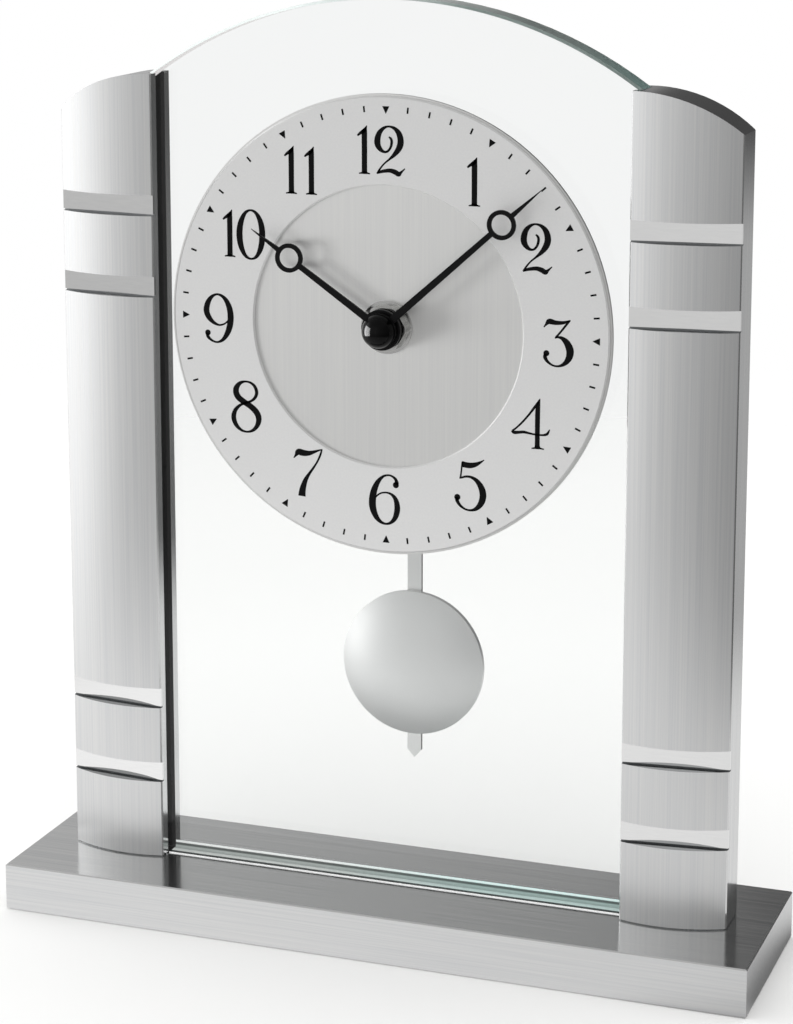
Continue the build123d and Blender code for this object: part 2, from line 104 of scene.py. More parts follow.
# Brushed aluminium: streaks 0.5 mm wide and about 60 mm long, drawn twice as coarse as the real grit
# so that they show. The top is rubbed smoother, so it mirrors what stands on it.
base_metal, tree, shader = finish("brushed_aluminium_base", Metallic=1.0, Anisotropic=0.75)
place = add(tree, "TexCoord")
grain = add(tree, "Mapping", {"Vector": place.outputs["Object"],
                              "Scale": (1 / (60 * mm), 1 / (0.5 * mm), 1 / (0.5 * mm))})
streak = add(tree, "TexNoise", {"Vector": grain.outputs[0], "Scale": 1.0, "Detail": 4.0,
                                "Roughness": 0.6})
facing = add(tree, "SeparateXYZ", {0: place.outputs["Normal"]})
on_top = rescale(tree, facing.outputs["Z"], 0.7, 0.95)
side_rough = rescale(tree, streak.outputs["Fac"], 0.3, 0.7, 0.30, 0.42)
top_rough = rescale(tree, streak.outputs["Fac"], 0.3, 0.7, 0.12, 0.19)
rough = add(tree, "Mix", {"Factor": on_top.outputs[0], 2: side_rough.outputs[0], 3: top_rough.outputs[0]})
tone = blend(tree, streak.outputs["Fac"], (0.3, "#D2D3D4"), (0.7, "#E4E4E3"))
across = add(tree, "CombineXYZ", {"Y": 0.3, "Z": 1.0})
ridges = add(tree, "Bump", {"Height": streak.outputs["Fac"], "Strength": 0.06, "Distance": 0.02 * mm})
feed(tree, shader, {"Base Color": tone.outputs[0], "Roughness": rough.outputs[0],
                    "Tangent": across.outputs[0], "Normal": ridges.outputs[0]})
dress(base_metal, "base_shell")

# Medium density board: pale brown fibres, 0.4 mm, matt.
board, tree, shader = finish("fibreboard", Roughness=0.85)
place = add(tree, "TexCoord")
fibre = add(tree, "TexNoise", {"Vector": place.outputs["Object"], "Scale": 1 / (0.8 * mm), "Detail": 5.0,
                               "Roughness": 0.7})
tone = blend(tree, fibre.outputs["Fac"], (0, "#7A5C3C"), (1, "#B08D62"))
feed(tree, shader, {"Base Color": tone.outputs[0]})
dress(board, "base_core")

# Pressed felt: dark grey, loose fibres about 0.3 mm thick that stand up a little.
felt, tree, shader = finish("grey_felt", Roughness=0.95, Sheen_Weight=0.4)
place = add(tree, "TexCoord")
fibre = add(tree, "TexNoise", {"Vector": place.outputs["Object"], "Scale": 1 / (0.6 * mm), "Detail": 8.0,
                               "Roughness": 0.75})
tone = blend(tree, fibre.outputs["Fac"], (0, "#1C1D1E"), (1, "#4A4C4D"))
nap = add(tree, "Bump", {"Height": fibre.outputs["Fac"], "Strength": 0.6, "Distance": 0.3 * mm})
feed(tree, shader, {"Base Color": tone.outputs[0], "Normal": nap.outputs[0]})
dress(felt, "base_felt")

# Zinc plated steel: bluish grey with a faint cloudy bloom.
zinc, tree, shader = finish("zinc_plated_steel", Metallic=1.0)
place = add(tree, "TexCoord")
bloom = add(tree, "TexNoise", {"Vector": place.outputs["Object"], "Scale": 1 / (3 * mm), "Detail": 3.0})
tone = blend(tree, bloom.outputs["Fac"], (0, "#A9AEB4"), (1, "#C9CCD0"))
rough = rescale(tree, bloom.outputs["Fac"], 0, 1, 0.25, 0.45)
feed(tree, shader, {"Base Color": tone.outputs[0], "Roughness": rough.outputs[0]})
dress(zinc, "pillar_screws", "bob_plate")


# Pillars: extruded aluminium bars, brushed upright on the rounded front, with polished sides and tops.
# The slot that holds the glass is left as milled, and its walls are painted dark grey as painted shade
# inside the slot.

def calc(tree, operation, *values):
    """A maths node with one operation on one to three values."""
    return add(tree, "Math", dict(enumerate(values)), operation=operation)


def mix_colours(tree, share, first, second):
    """A colour between the first and the second, by the share of the second."""
    return add(tree, "Mix", {"Factor": share, 6: first, 7: second}, data_type="RGBA")


pillar_metal, tree, shader = finish("brushed_aluminium_pillar", Metallic=1.0, Anisotropic=0.85)
place = add(tree, "TexCoord")
grain = add(tree, "Mapping", {"Vector": place.outputs["Object"],
                              "Scale": (1 / (0.5 * mm), 1 / (0.5 * mm), 1 / (80 * mm))})
streak = add(tree, "TexNoise", {"Vector": grain.outputs[0], "Scale": 1.0, "Detail": 4.0,
                                "Roughness": 0.6})
facing = add(tree, "SeparateXYZ", {0: place.outputs["Normal"]})
in_front = rescale(tree, facing.outputs["Y"], -0.6, -0.8)
front_rough = rescale(tree, streak.outputs["Fac"], 0.3, 0.7, 0.40, 0.46)
rough = add(tree, "Mix", {"Factor": in_front.outputs[0], 2: 0.16, 3: front_rough.outputs[0]})
tone = blend(tree, streak.outputs["Fac"], (0.3, "#D8D9DA"), (0.7, "#E6E6E5"))
spot = add(tree, "SeparateXYZ", {0: place.outputs["Object"]})
slot_half, slot_start, slot_end, crest_start = 4.15 * mm, 59.75 * mm, 66.5 * mm, 195 * mm
off_middle = calc(tree, "ABSOLUTE", spot.outputs["Y"])
reach = calc(tree, "ABSOLUTE", spot.outputs["X"])
shallow = calc(tree, "LESS_THAN", off_middle.outputs[0], slot_half)
inside = calc(tree, "LESS_THAN", reach.outputs[0], slot_end)
beyond = calc(tree, "GREATER_THAN", reach.outputs[0], slot_start)
slot = calc(tree, "MULTIPLY", shallow.outputs[0], inside.outputs[0])
slot = calc(tree, "MULTIPLY", slot.outputs[0], beyond.outputs[0])
not_crest = calc(tree, "LESS_THAN", facing.outputs["Z"], 0.5)
slot = calc(tree, "MULTIPLY", slot.outputs[0], not_crest.outputs[0])
# painted shade: faces that look up or down below the crest, the band ledges and the foot's chamfer, go
# darker
level = calc(tree, "ABSOLUTE", facing.outputs["Z"])
ledge_shade = rescale(tree, level.outputs[0], 0.6, 0.8)
below = calc(tree, "LESS_THAN", spot.outputs["Z"], crest_start)
groove_shade = calc(tree, "MULTIPLY", ledge_shade.outputs[0], below.outputs[0])
# set_back is how far a point lies behind the plane through the front's two long edges, by that plane's
# direction and offset; the floors of the grooves lie furthest back, and get painted shade
front_y, front_x, front_offset = 0.99403, -0.10915, 13.474 * mm
set_back = add(tree, "VectorMath", {0: place.outputs["Object"], 1: (0, front_y, 0)},
               operation="DOT_PRODUCT")
set_back = calc(tree, "MULTIPLY_ADD", reach.outputs[0], front_x, set_back.outputs["Value"])
set_back = calc(tree, "ADD", set_back.outputs[0], front_offset)
groove_floor = calc(tree, "GREATER_THAN", set_back.outputs[0], 0.6 * mm)
groove_floor = calc(tree, "MULTIPLY", groove_floor.outputs[0], in_front.outputs[0])
groove_shade = calc(tree, "MAXIMUM", groove_shade.outputs[0], groove_floor.outputs[0])
# painted shade: the ledges and the groove floors take a darker grey
colour = mix_colours(tree, groove_shade.outputs[0], tone.outputs[0], linear("#A0A2A3"))
# painted shade: the slot's walls are painted dark grey and made rougher
colour = mix_colours(tree, slot.outputs[0], colour.outputs[2], linear("#4C4E50"))
rough = add(tree, "Mix", {"Factor": slot.outputs[0], 2: rough.outputs[0], 3: 0.6})
across = add(tree, "CombineXYZ", {"X": 1.0})
ridges = add(tree, "Bump", {"Height": streak.outputs["Fac"], "Strength": 0.04, "Distance": 0.02 * mm})
feed(tree, shader, {"Base Color": colour.outputs[2], "Roughness": rough.outputs[0],
                    "Tangent": across.outputs[0], "Normal": ridges.outputs[0]})
dress(pillar_metal, "left_pillar", "right_pillar")


# Bands: eight flat strips, let into the pillars and polished to a mirror.
# Rubbing leaves faint hairlines along them, too fine to see one by one.

band_metal, tree, shader = finish("polished_aluminium_band", Metallic=1.0)
place = add(tree, "TexCoord")
grain = add(tree, "Mapping", {"Vector": place.outputs["Object"],
                              "Scale": (1 / (30 * mm), 1 / (0.4 * mm), 1 / (0.4 * mm))})
hairline = add(tree, "TexNoise", {"Vector": grain.outputs[0], "Scale": 1.0, "Detail": 3.0})
rough = rescale(tree, hairline.outputs["Fac"], 0.3, 0.7, 0.04, 0.09)
tone = blend(tree, hairline.outputs["Fac"], (0, "#EAEAEA"), (1, "#F3F3F2"))
feed(tree, shader, {"Base Color": tone.outputs[0], "Roughness": rough.outputs[0]})
dress(band_metal, *[f"{side}_band_{n}" for side in ("left", "right") for n in (1, 2, 3, 4)])


# Glass: an 8 mm float glass pane with an arched top, ground at the edges and held between the pillars.
# Iron in the melt turns it green where the eye looks along it.

glass, tree, shader = finish("float_glass", Base_Color=linear("#FFFFFF"), IOR=1.52,
                             Transmission_Weight=1.0)
place = add(tree, "TexCoord")
facing = add(tree, "SeparateXYZ", {0: place.outputs["Normal"]})
turned = calc(tree, "ABSOLUTE", facing.outputs["Y"])
ground = rescale(tree, turned.outputs[0], 0.9, 0.6, 0.0, 0.12)
feed(tree, shader, {"Roughness": ground.outputs[0]})
body = add(tree, "VolumeAbsorption", {"Color": linear("#CCD4D1"), "Density": 22.0})
output = next(n for n in tree.nodes if n.bl_idname == "ShaderNodeOutputMaterial")
feed(tree, output, {"Volume": body.outputs[0]})
dress(glass, "glass_pane")

# The pane's foot and arch are ground dull, with a chamfer front and back, taller at the foot's back.
# The pane's mesh has one slot, so the dull skin is a sheet 0.04 mm thick just inside the pane.
pane_low, pane_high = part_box("glass_pane")
skin_thick, chamfer, tall_chamfer = 0.04 * mm, 0.5 * mm, 1.8 * mm
foot_gap, arch_gap = 0.03 * mm, 0.12 * mm
arch_radius = 106 * mm
half_depth = pane_high.y - foot_gap


def new_piece(name, points, faces):
    """A new mesh object at the origin, from its corner points and faces."""
    mesh = bpy.data.meshes.new(name)
    mesh.from_pydata(points, [], faces.tolist())
    mesh.validate()
    made = bpy.data.objects.new(name, mesh)
    bpy.context.scene.collection.objects.link(made)
    return made


def ground_skin(path, inward, back_rise):
    """The skin along one edge: at each point of the path, given in x and z, the chamfered profile lies
    across the pane, with y as its depth and the inward direction as its height, and a second layer lies
    skin_thick inside. The back chamfer is back_rise high."""
    depth = np.array([-half_depth, chamfer - half_depth, half_depth - chamfer, half_depth])
    height = np.array([chamfer, 0, 0, back_rise])
    depth = np.concatenate([depth, (depth + skin_thick * np.array([1, 0, 0, -1]))[::-1]])
    height = np.concatenate([height, (height + skin_thick * np.array([0, 1, 1, 0]))[::-1]])
    flat = path[:, None] + inward[:, None] * height[:, None]
    points = np.stack([flat[..., 0], np.broadcast_to(depth, flat.shape[:2]), flat[..., 1]], -1)
    i, k = np.meshgrid(np.arange(len(path) - 1) * 8, np.arange(8), indexing="ij")
    sides = np.stack([i + k, i + (k + 1) % 8, i + (k + 1) % 8 + 8, i + k + 8], -1).reshape(-1, 4)
    cap = np.array([[0, 1, 6, 7], [1, 2, 5, 6], [2, 3, 4, 5]])
    return points.reshape(-1, 3), np.vstack([sides, cap[:, ::-1], cap + len(points) * 8 - 8])


foot_half, arch_half, arch_steps = 59.6 * mm, 37.4, 61
foot_path = np.array([(-foot_half, pane_low.z + foot_gap), (foot_half, pane_low.z + foot_gap)])
arch_turn = np.radians(np.linspace(arch_half, -arch_half, arch_steps))
outward = np.column_stack([np.sin(arch_turn), np.cos(arch_turn)])
arch_path = outward * (arch_radius - arch_gap) + (0, pane_high.z - arch_radius)
foot_points, foot_faces = ground_skin(foot_path, np.tile((0.0, 1.0), (2, 1)), tall_chamfer)
arch_points, arch_faces = ground_skin(arch_path, -outward, chamfer)
skin_faces = np.vstack([foot_faces, arch_faces + len(foot_points)])
ground_edge = new_piece("glass_ground_edge", np.vstack([foot_points, arch_points]), skin_faces)

# Ground glass: a pale dull edge, with painted bands across the foot: dark lines of painted shade and white
# lines of painted highlight at the chamfers. The foot glows with painted light, in place of light gathered
# by the whole pane, and the arch has a painted glow on the lamps' side. The edge is painted grey at the left
# and green at the right, for light that has come furthest through the pane.
frosted, tree, shader = finish("ground_glass", Roughness=0.7, Emission_Strength=0.7)
place = add(tree, "TexCoord")
spot = add(tree, "SeparateXYZ", {0: place.outputs["Object"]})
long = add(tree, "Mapping", {"Vector": place.outputs["Object"],
                             "Scale": (1 / (25 * mm), 1 / (0.9 * mm), 1 / (25 * mm))})
wobble = add(tree, "TexNoise", {"Vector": long.outputs[0], "Scale": 1.0, "Detail": 3.0})
stray = rescale(tree, wobble.outputs["Fac"], 0.3, 0.7, -0.25 * mm, 0.25 * mm)
from_middle = calc(tree, "ABSOLUTE", spot.outputs["Y"])
inner = rescale(tree, from_middle.outputs[0], 3.4 * mm, 3.0 * mm)
stray = calc(tree, "MULTIPLY", stray.outputs[0], inner.outputs[0])
across_edge = calc(tree, "ADD", spot.outputs["Y"], stray.outputs[0])
across_edge = rescale(tree, across_edge.outputs[0], -4 * mm, 4 * mm)
# tones of the foot from front to back, by y in mm, with painted shade and painted highlights among them
tones = [(-3.95, "#1B201E"), (-3.74, "#1B201E"), (-3.68, "#FFFFFF"), (-3.46, "#FFFFFF"),
         (-3.4, "#2E3533"), (-0.9, "#2E3533"), (-0.4, "#C3CDCA"), (1.6, "#BCC5C2"), (2.0, "#959F9C"),
         (3.4, "#959F9C"), (3.58, "#A2ACA9"), (3.64, "#4E5553"), (3.76, "#565D5B"), (3.81, "#EAF2F0"),
         (3.9, "#F5FDFB"), (3.95, "#A4AFAC")]
bands = blend(tree, across_edge.outputs[0], *[((y + 4) / 8, code) for y, code in tones])
high_up = calc(tree, "GREATER_THAN", spot.outputs["Z"], 100 * mm)
plain = blend(tree, wobble.outputs["Fac"], (0, "#93A5A0"), (1, "#B4C4BF"))
colour = mix_colours(tree, high_up.outputs[0], bands.outputs[0], plain.outputs[0])
# painted glow: the arch's left end, toward the lamps, glows white
lit_left = rescale(tree, spot.outputs["X"], -25 * mm, 20 * mm, 1.0, 0.0)
arch_glow = mix_colours(tree, lit_left.outputs[0], linear("#000000"), linear("#F6F6F6"))
glow = mix_colours(tree, high_up.outputs[0], bands.outputs[0], arch_glow.outputs[2])
# painted green toward the right, for light that has crossed the pane
foot_green = rescale(tree, spot.outputs["X"], -20 * mm, 22 * mm, 0.0, 0.6)
arch_green = rescale(tree, spot.outputs["X"], 42 * mm, 62 * mm)
green = add(tree, "Mix", {"Factor": high_up.outputs[0], 2: foot_green.outputs[0],
                          3: arch_green.outputs[0]})
painted_green_tint = blend(tree, green.outputs[0], (0, "#FFF8F9"), (1, "#E5FFFE"))
deep_in = rescale(tree, spot.outputs["Y"], -3.4 * mm, -3.0 * mm)
colour = add(tree, "Mix", {"Factor": deep_in.outputs[0], 6: colour.outputs[2], 7: painted_green_tint.outputs[0]},
             data_type="RGBA", blend_type="MULTIPLY")
glow = add(tree, "Mix", {"Factor": deep_in.outputs[0], 6: glow.outputs[2], 7: painted_green_tint.outputs[0]},
           data_type="RGBA", blend_type="MULTIPLY")
feed(tree, shader, {"Base Color": colour.outputs[2], "Emission Color": glow.outputs[2]})
ground_edge.data.materials.append(frosted)
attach(ground_edge, "frame")


# Dial: a thin aluminium disc brushed upright and primed matt grey behind, and a smooth chapter ring on it
# in satin silver lacquer. The nut on the movement's bushing clamps both against the glass.

disc_metal, tree, shader = finish("brushed_aluminium_dial", Metallic=1.0, Anisotropic=0.85)
place = add(tree, "TexCoord")
grain = add(tree, "Mapping", {"Vector": place.outputs["Object"],
                              "Scale": (1 / (0.5 * mm), 1 / (0.5 * mm), 1 / (50 * mm))})
streak = add(tree, "TexNoise", {"Vector": grain.outputs[0], "Scale": 1.0, "Detail": 4.0,
                                "Roughness": 0.6})
rough = rescale(tree, streak.outputs["Fac"], 0.3, 0.7, 0.40, 0.44)
tone = blend(tree, streak.outputs["Fac"], (0.3, "#E5E5E4"), (0.7, "#EBEBE9"))
across = add(tree, "CombineXYZ", {"X": 1.0})
ridges = add(tree, "Bump", {"Height": streak.outputs["Fac"], "Strength": 0.012, "Distance": 0.02 * mm})
feed(tree, shader, {"Base Color": tone.outputs[0], "Roughness": rough.outputs[0],
                    "Tangent": across.outputs[0], "Normal": ridges.outputs[0]})
dress(disc_metal, "dial_disc")

# The disc lies flat on the pane, so the primer on its back is a film 0.03 mm thick just inside the glass.
disc_low, disc_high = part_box("dial_disc")
film_front, film_back = disc_high.y + 0.01 * mm, disc_high.y + 0.04 * mm
film_inner, film_outer, film_steps = 6.0 * mm, disc_high.x - 0.1 * mm, 128


def ring_film(centre_height):
    """A flat closed ring: a four-cornered section of radius and y, carried once round the dial's axis."""
    radius = np.array([film_inner, film_outer, film_outer, film_inner])
    depth = np.array([film_front, film_front, film_back, film_back])
    turn = np.linspace(0, 2 * math.pi, film_steps, endpoint=False)[:, None]
    points = np.stack([np.sin(turn) * radius, np.broadcast_to(depth, (film_steps, 4)),
                       centre_height + np.cos(turn) * radius], -1)
    i, k = np.meshgrid(np.arange(film_steps), np.arange(4), indexing="ij")
    after = (i + 1) % film_steps
    faces = np.stack([after * 4 + k, after * 4 + (k + 1) % 4, i * 4 + (k + 1) % 4, i * 4 + k], -1)
    return points.reshape(-1, 3), faces.reshape(-1, 4)


dial_back = new_piece("dial_back_primer", *ring_film((disc_low.z + disc_high.z) / 2))

# Grey primer: matt, with a fine speckle, and a faint painted glow in place of light that the pane carries
# along inside.
coat, tree, shader = finish("grey_primer", Roughness=0.75, Emission_Strength=0.1)
place = add(tree, "TexCoord")
speckle = add(tree, "TexNoise", {"Vector": place.outputs["Object"], "Scale": 1 / (0.8 * mm),
                                 "Detail": 3.0})
tone = blend(tree, speckle.outputs["Fac"], (0, "#C4C5C4"), (1, "#DADBD9"))
feed(tree, shader, {"Base Color": tone.outputs[0], "Emission Color": tone.outputs[0]})
dial_back.data.materials.append(coat)
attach(dial_back, "frame")

# Satin silver lacquer: a metal base coat with fine flakes, 0.25 mm apart, under a clear coat.
ring_paint, tree, shader = finish("silver_lacquer", Metallic=0.75, Roughness=0.48, Coat_Weight=0.25,
                                  Coat_Roughness=0.2)
place = add(tree, "TexCoord")
flake = add(tree, "TexNoise", {"Vector": place.outputs["Object"], "Scale": 1 / (0.5 * mm), "Detail": 2.0})
tone = blend(tree, flake.outputs["Fac"], (0, "#E4E4E4"), (1, "#ECECEB"))
feed(tree, shader, {"Base Color": tone.outputs[0]})
dress(ring_paint, "chapter_ring")


# Dial printing: twelve numerals, twelve hour triangles and forty-eight minute strokes in black ink,
# pad printed on the chapter ring, a film 0.04 mm thick of which 0.01 mm is sunk in the ring.

axis_height = 152.0
ink_back, ink_face = -5.49, -5.53
numeral_radius = 42.5
mark_radius = 52.06
mark_size, mark_point = 1.75, 0.04
tick_length, tick_width = 1.45, 0.44

# each figure is a list of pen strokes, and each stroke has rows of x, z and half width, in mm from the
# figure's centre
figures = {
    "0": [[(0, 5.9, .25), (-1.5, 5.1, .44), (-2.6, 2.8, .7), (-2.98, 0, .8), (-2.6, -2.9, .7),
           (-1.5, -5.15, .44), (0, -5.9, .25), (1.5, -5.15, .44), (2.6, -2.8, .7), (2.94, 0, .78),
           (2.6, 2.9, .7), (1.5, 5.1, .44), (0, 5.9, .25)]],
    "1": [[(0, -5.5, .8), (0, -4.8, .68), (0, 0, .68), (0, 3.6, .68), (.12, 4.5, .56), (.38, 5.2, .28),
           (.58, 5.75, .08)],
          [(-1.75, 3.3, .2), (-1.1, 3.85, .34), (-.4, 4.3, .45), (.2, 4.95, .35), (.55, 5.65, .1)],
          [(-1.4, -5.62, .14), (-.7, -5.5, .22), (0, -5.4, .34), (.7, -5.5, .22), (1.4, -5.62, .14)]],
    "2": [[(.1, 3.0, .18), (.62, 2.5, .3), (.78, 1.7, .33), (.5, .5, .3), (-.2, -.4, .28),
           (-1.0, -.6, .3), (-1.9, -.15, .5), (-2.65, .9, .72), (-2.78, 2.2, .76), (-2.3, 3.8, .62),
           (-1.2, 5.0, .38), (.1, 5.42, .24), (1.5, 5.0, .42), (2.6, 3.8, .68), (3.02, 2.0, .78),
           (2.6, .4, .74), (1.5, -1.1, .5), (.2, -2.3, .26), (-1.1, -3.4, .2), (-2.1, -4.6, .22),
           (-2.7, -5.6, .28)],
          [(-2.95, -5.75, .2), (-2.2, -5.4, .34), (-1.0, -5.1, .42), (.4, -4.95, .5), (1.6, -5.25, .6),
           (2.5, -5.7, .58), (3.0, -5.35, .36), (3.5, -4.9, .22), (4.1, -4.35, .12)]],
    "3": [[(-3.4, 2.65, .14), (-2.85, 3.35, .3), (-2.1, 4.05, .66), (-.6, 3.85, .54), (1.0, 3.92, .42),
           (2.1, 4.2, .3), (3.0, 4.6, .14)],
          [(2.8, 4.5, .24), (1.9, 3.35, .26), (.9, 2.05, .24), (0, .95, .24), (-.6, .35, .2)],
          [(-.75, .2, .14), (.1, .45, .26), (1.1, .2, .48), (2.2, -.8, .78), (2.95, -2.5, .92),
           (2.75, -4.2, .8), (1.8, -5.6, .52), (.4, -6.35, .28), (-1.1, -6.3, .23), (-2.4, -5.5, .34),
           (-3.05, -4.5, .46), (-3.0, -3.7, .4)]],
    "4": [[(.98, -4.9, .74), (.95, -4.2, .6), (.95, 0, .6), (.98, 3.5, .6), (1.1, 5.2, .5),
           (1.35, 6.2, .26), (1.5, 6.8, .1)],
          [(-.45, -5.22, .14), (.3, -5.1, .22), (.98, -5.0, .34), (1.7, -5.1, .22), (2.6, -5.22, .14)],
          [(1.4, 6.5, .2), (.3, 4.8, .3), (-1.2, 2.75, .25), (-2.8, .85, .24), (-4.2, -.55, .22),
           (-5.2, -1.35, .24)],
          [(-5.45, -1.45, .14), (-4.75, -1.7, .4), (-3.6, -1.6, .36), (-2.4, -1.45, .34),
           (-1.0, -1.65, .26), (.6, -1.85, .22), (2.2, -1.85, .24), (3.2, -1.6, .32), (3.6, -1.1, .26),
           (3.95, -.4, .12)]],
    "5": [[(-2.15, 5.2, .72), (-1.2, 5.02, .7), (0, 4.98, .68), (1.2, 5.25, .56), (2.4, 5.85, .32),
           (3.45, 6.55, .1)],
          [(-2.0, 5.7, .2), (-2.15, 4.2, .2), (-2.3, 2.8, .2), (-2.45, 1.7, .24)],
          [(-2.7, 1.65, .14), (-2.0, 1.9, .24), (-1.0, 2.2, .27), (.3, 2.1, .34), (1.7, 1.3, .54),
           (2.85, -.4, .78), (3.2, -2.2, .84), (2.75, -4.0, .74), (1.6, -5.4, .5), (.2, -5.95, .28),
           (-1.3, -5.75, .25), (-2.6, -4.85, .36), (-3.25, -3.8, .44), (-3.35, -3.0, .4)]],
    "6": [[(2.75, 4.4, .4), (2.75, 4.9, .46), (2.35, 5.8, .36), (1.4, 6.45, .25), (.3, 6.55, .24),
           (-.9, 6.05, .34), (-2.1, 4.7, .58), (-3.05, 2.6, .8), (-3.48, .2, .9), (-3.35, -1.9, .86),
           (-2.6, -3.8, .68), (-1.5, -5.0, .44), (-.2, -5.48, .27), (1.1, -5.15, .36), (2.2, -4.0, .58),
           (2.8, -2.2, .72), (2.8, -.5, .7), (2.3, 1.0, .52), (1.3, 1.95, .32), (.1, 2.25, .22),
           (-1.2, 2.05, .2), (-2.2, 1.4, .2), (-2.9, .6, .16)]],
    "7": [[(-2.55, 3.2, .12), (-2.0, 3.95, .34), (-1.3, 4.75, .8), (.1, 4.62, .76), (1.5, 4.7, .58),
           (3.0, 5.2, .34), (4.2, 5.65, .2), (4.9, 5.85, .12)],
          [(4.75, 5.8, .2), (4.4, 4.6, .25), (3.65, 2.9, .24), (2.6, 1.2, .27), (1.45, -.4, .36),
           (.55, -1.9, .54), (-.05, -3.5, .72), (-.4, -5.0, .86), (-.5, -6.15, .95)]],
    "8": [[(.5, 5.65, .25), (-.9, 5.2, .45), (-1.9, 4.0, .7), (-2.0, 2.7, .78), (-1.3, 1.5, .78),
           (.2, .5, .74), (1.9, -.5, .74), (3.3, -1.8, .78), (3.88, -3.3, .74), (3.5, -5.0, .58),
           (2.3, -6.35, .38), (.7, -6.82, .25), (-.9, -6.4, .36), (-2.2, -5.1, .56), (-2.72, -3.4, .64),
           (-2.3, -1.7, .52), (-1.1, -.4, .36), (.4, .35, .3), (1.8, .85, .3), (2.9, 1.75, .38),
           (3.4, 3.1, .44), (2.95, 4.5, .4), (1.9, 5.4, .3), (.5, 5.65, .25)]],
    "9": [[(1.75, -.9, .18), (.7, -1.75, .22), (-.7, -2.05, .26), (-2.2, -1.4, .46), (-3.4, -.1, .7),
           (-3.9, 1.5, .76), (-3.45, 3.4, .66), (-2.4, 4.85, .42), (-1.0, 5.47, .26), (.4, 5.0, .4),
           (1.5, 3.8, .6), (2.25, 1.9, .76), (2.45, -.3, .8), (2.1, -2.5, .77), (1.3, -4.4, .62),
           (.2, -5.75, .4), (-1.1, -6.32, .25), (-2.4, -6.05, .27), (-3.5, -5.2, .4), (-3.85, -4.3, .4)]],
}
# round ends of strokes, as x, z and radius, each drawn in rows from just under its top to just over its foot
dot_start, dot_rows = 0.05, 17
pen_dots = {"3": (-2.75, -3.5, .72), "5": (-3.2, -3.0, .76), "6": (2.5, 4.3, .76), "9": (-3.6, -4.1, .72)}
# the figures at each hour, with their offsets from the point on the numeral circle
hours = {12: [("1", -5.35, -.3), ("2", .68, 0)], 1: [("1", .67, -1.0)], 2: [("2", 0, 0)],
         3: [("3", 0, 0)], 4: [("4", 0, 0)], 5: [("5", 0, 0)], 6: [("6", 0, 0)], 7: [("7", 0, 0)],
         8: [("8", 0, 0)], 9: [("9", 0, 0)], 10: [("1", -3.2, -.65), ("0", 2.3, -.7)],
         11: [("1", -2.68, -.15), ("1", 2.45, -.15)]}


def pen_stroke(rows, steps=8):
    """The two edges of a stroke: a cubic curve runs through the rows, sloped at each row like the line
    between the rows beside it, and each edge lies half a width to the curve's side."""
    p = np.array(rows, float)
    closed = np.allclose(p[0], p[-1])
    before, after = (p[-2], p[1]) if closed else (2 * p[0] - p[1], 2 * p[-1] - p[-2])
    q = np.vstack([before, p, after])
    a, b, c, d = q[:-3, None], q[1:-2, None], q[2:-1, None], q[3:, None]
    t = np.linspace(0, 1, steps, endpoint=False)[None, :, None]
    bend = a - 2.5 * b + 2 * c - d / 2
    twist = 1.5 * (b - c) + (d - a) / 2
    run = b + t * (c - a) / 2 + t ** 2 * bend + t ** 3 * twist
    run = np.vstack([run.reshape(-1, 3), p[-1:]])
    along = np.gradient(run[:, :2], axis=0)
    along /= np.linalg.norm(along, axis=1)[:, None]
    side = np.stack([-along[:, 1], along[:, 0]], 1) * run[:, 2:]
    return run[:, :2] + side, run[:, :2] - side


def ink_film(left, right):
    """A closed thin film between two edges: a four-cornered section, ink face to dial face, carried
    along them."""
    rows = len(left)
    points = np.empty((rows, 4, 3))
    points[..., 0::2] = np.stack([left, right, right, left], 1)
    points[..., 1] = (ink_face, ink_face, ink_back, ink_back)
    points[..., 2] += axis_height
    first = np.arange(rows - 1)[:, None] * 4
    j = np.arange(4)
    k = (j + 1) % 4
    walls = np.stack([first + j, first + k, first + 4 + k, first + 4 + j], -1).reshape(-1, 4)
    ends = np.array([j[::-1], j + 4 * (rows - 1)])
    return points.reshape(-1, 3) * mm, np.vstack([walls, ends])


films = []
for hour, group in hours.items():
    turn = math.radians(30 * hour)
    for figure, dx, dz in group:
        centre = np.array([numeral_radius * math.sin(turn) + dx, numeral_radius * math.cos(turn) + dz])
        films += [ink_film(*(edge + centre for edge in pen_stroke(rows))) for rows in figures[figure]]
        if figure in pen_dots:
            x, z, radius = pen_dots[figure]
            height = np.cos(np.linspace(dot_start, math.pi - dot_start, dot_rows)) * radius
            width = np.sqrt(radius ** 2 - height ** 2)
            level = np.stack([-width, -height], 1) + (x, z) + centre
            films.append(ink_film(level, level + np.stack([2 * width, 0 * width], 1)))
for minute in range(60):
    turn = math.radians(6 * minute)
    out = np.array([math.sin(turn), math.cos(turn)])
    beside = np.array([-out[1], out[0]])
    if minute % 5 == 0:
        narrow, half, tip, base = mark_point, mark_size / 2, mark_size * 2 / 3, mark_size / 3
    else:
        narrow, half, tip, base = tick_width / 2, tick_width / 2, tick_length / 2, tick_length / 2
    inner, outer = out * (mark_radius - tip), out * (mark_radius + base)
    left = np.array([inner + beside * narrow, outer + beside * half])
    right = np.array([inner - beside * narrow, outer - beside * half])
    films.append(ink_film(left, right))

starts = np.cumsum([0] + [len(points) for points, _ in films[:-1]])
film_points = np.vstack([points for points, _ in films])
film_faces = np.vstack([faces + first for (_, faces), first in zip(films, starts)])
dial_print = new_piece("dial_print", film_points, film_faces)

